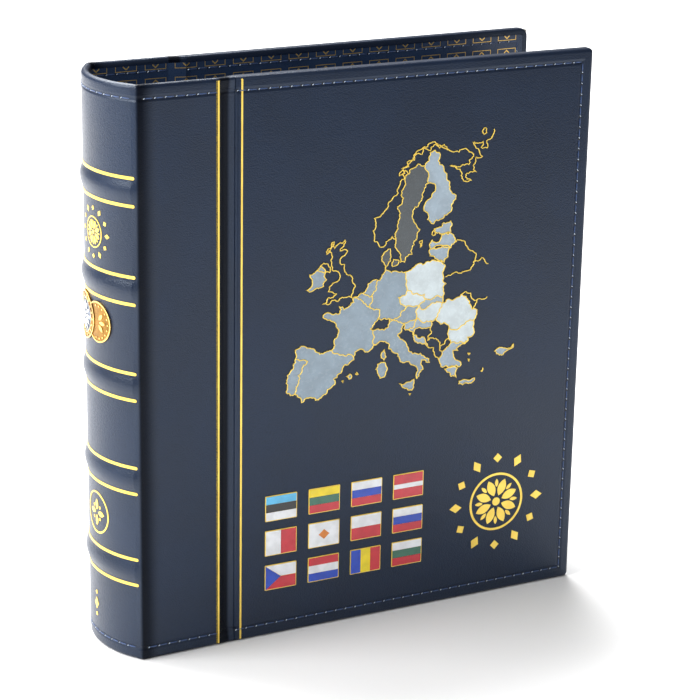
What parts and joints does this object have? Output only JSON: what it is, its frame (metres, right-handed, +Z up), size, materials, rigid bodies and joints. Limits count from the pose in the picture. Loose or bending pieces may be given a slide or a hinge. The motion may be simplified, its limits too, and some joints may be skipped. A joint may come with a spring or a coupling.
{
  "type": "coin album",
  "caption": "Padded ring binder with a rounded spine, hinged covers, a ring mechanism and pocket leaves that hold a coin collection.",
  "frame": {"origin": "middle of the footprint, on the surface that the album stands on", "axes": "+X from the spine to the fore edge, +Y from the front cover to the back cover, +Z up"},
  "size_m": [0.2534, 0.0672, 0.28],
  "materials": {
    "leatherette": "navy leatherette with a fine pebble grain",
    "lining": "dark navy printed lining",
    "board": "grey pressed board",
    "foam": "soft white foam",
    "thread": "medium blue thread",
    "gold_foil": "pale satin gold foil",
    "gold_metal": "struck gold-coloured metal",
    "silver_metal": "struck silver-coloured metal",
    "steel": "bright nickel plate",
    "leaf_film": "dark blue semi-matt plastic",
    "map_enamel": "pale blue-grey enamel with gold edges",
    "flag_enamel": "glossy banded enamel with gold edges"
  },
  "bodies": {
    "spine": {"spine_board": "board", "spine_bands": "board", "spine_leather": "leatherette", "spine_lining": "lining", "spine_thread": "thread", "spine_gold_lines": "gold_foil", "spine_emblem": "gold_foil", "spine_coin_ring": "gold_metal", "spine_coin_core": "silver_metal", "spine_coin_small": "gold_metal", "spine_ornaments": "gold_foil", "ring_housing": "steel", "housing_rivets": "steel", "housing_spacers": "steel", "lever_pins": "steel"},
    "front_strip": {"front_strip_board": "board", "front_strip_leather": "leatherette", "front_strip_lining": "lining", "front_strip_thread": "thread", "front_strip_gold_line": "gold_foil", "front_corner_leather": "leatherette", "front_corner_lining": "lining"},
    "back_strip": {"back_strip_board": "board", "back_strip_leather": "leatherette", "back_strip_lining": "lining", "back_strip_thread": "thread", "back_strip_gold_line": "gold_foil", "back_corner_leather": "leatherette", "back_corner_lining": "lining"},
    "front_cover": {"front_board": "board", "front_foam": "foam", "front_leather": "leatherette", "front_lining": "lining", "front_thread": "thread", "front_gold_line": "gold_foil", "map_inlay": "map_enamel", "flag_plates": "flag_enamel", "front_emblem": "gold_foil", "front_hinge_leather": "leatherette", "front_hinge_lining": "lining"},
    "back_cover": {"back_board": "board", "back_foam": "foam", "back_leather": "leatherette", "back_lining": "lining", "back_thread": "thread", "back_gold_line": "gold_foil", "back_hinge_leather": "leatherette", "back_hinge_lining": "lining"},
    "front_rings": {"front_blade": "steel", "front_half_rings": "steel"},
    "back_rings": {"back_blade": "steel", "back_half_rings": "steel"},
    "top_lever": {"top_lever": "steel"},
    "bottom_lever": {"bottom_lever": "steel"},
    "front_leaf": {"front_leaf": "leaf_film"},
    "middle_leaf": {"middle_leaf": "leaf_film"},
    "back_leaf": {"back_leaf": "leaf_film"}
  },
  "joints": [
    {"name": "front_strip_hinge", "type": "hinge", "parent": "spine", "child": "front_strip", "pos_m": [-0.115, -0.03, 0.14], "axis": [0, 0, -1], "range_deg": [0, 90], "deforming": ["front_corner_leather", "front_corner_lining"]},
    {"name": "back_strip_hinge", "type": "hinge", "parent": "spine", "child": "back_strip", "pos_m": [-0.115, 0.03, 0.14], "axis": [0, 0, 1], "range_deg": [0, 90], "deforming": ["back_corner_leather", "back_corner_lining"]},
    {"name": "front_cover_hinge", "type": "hinge", "parent": "front_strip", "child": "front_cover", "pos_m": [-0.07075, -0.0268, 0.14], "axis": [0, 0, -1], "range_deg": [-1, 90], "deforming": ["front_hinge_leather", "front_hinge_lining"]},
    {"name": "back_cover_hinge", "type": "hinge", "parent": "back_strip", "child": "back_cover", "pos_m": [-0.07075, 0.0268, 0.14], "axis": [0, 0, 1], "range_deg": [-1, 90], "deforming": ["back_hinge_leather", "back_hinge_lining"]},
    {"name": "front_rings_open", "type": "hinge", "parent": "spine", "child": "front_rings", "pos_m": [-0.11797, -0.012, 0.14], "axis": [0, 0, -1], "range_deg": [0, 10]},
    {"name": "back_rings_open", "type": "hinge", "parent": "spine", "child": "back_rings", "pos_m": [-0.11797, 0.012, 0.14], "axis": [0, 0, 1], "range_deg": [0, 10]},
    {"name": "top_lever_press", "type": "hinge", "parent": "spine", "child": "top_lever", "pos_m": [-0.11767, 0, 0.254], "axis": [0, -1, 0], "range_deg": [0, 20]},
    {"name": "bottom_lever_press", "type": "hinge", "parent": "spine", "child": "bottom_lever", "pos_m": [-0.11767, 0, 0.026], "axis": [0, 1, 0], "range_deg": [0, 20]},
    {"name": "front_leaf_turn", "type": "hinge", "parent": "spine", "child": "front_leaf", "pos_m": [-0.09739, 0, 0.14], "axis": [0, 0, -1], "range_deg": [-0.3, 27]},
    {"name": "middle_leaf_turn", "type": "hinge", "parent": "spine", "child": "middle_leaf", "pos_m": [-0.09739, 0, 0.14], "axis": [0, 0, -1], "range_deg": [-0.15, 13.5]},
    {"name": "back_leaf_turn", "type": "hinge", "parent": "spine", "child": "back_leaf", "pos_m": [-0.09739, 0, 0.14], "axis": [0, 0, 1], "range_deg": [-0.3, 27]}
  ],
  "couplings": [
    {"joint": "back_rings_open", "follows": "front_rings_open", "ratio": 1},
    {"joint": "top_lever_press", "follows": "front_rings_open", "ratio": 2},
    {"joint": "bottom_lever_press", "follows": "front_rings_open", "ratio": 2},
    {"joint": "front_leaf_turn", "follows": "front_cover_hinge", "ratio": 0.3},
    {"joint": "middle_leaf_turn", "follows": "front_cover_hinge", "ratio": 0.15},
    {"joint": "back_leaf_turn", "follows": "back_cover_hinge", "ratio": 0.3}
  ]
}
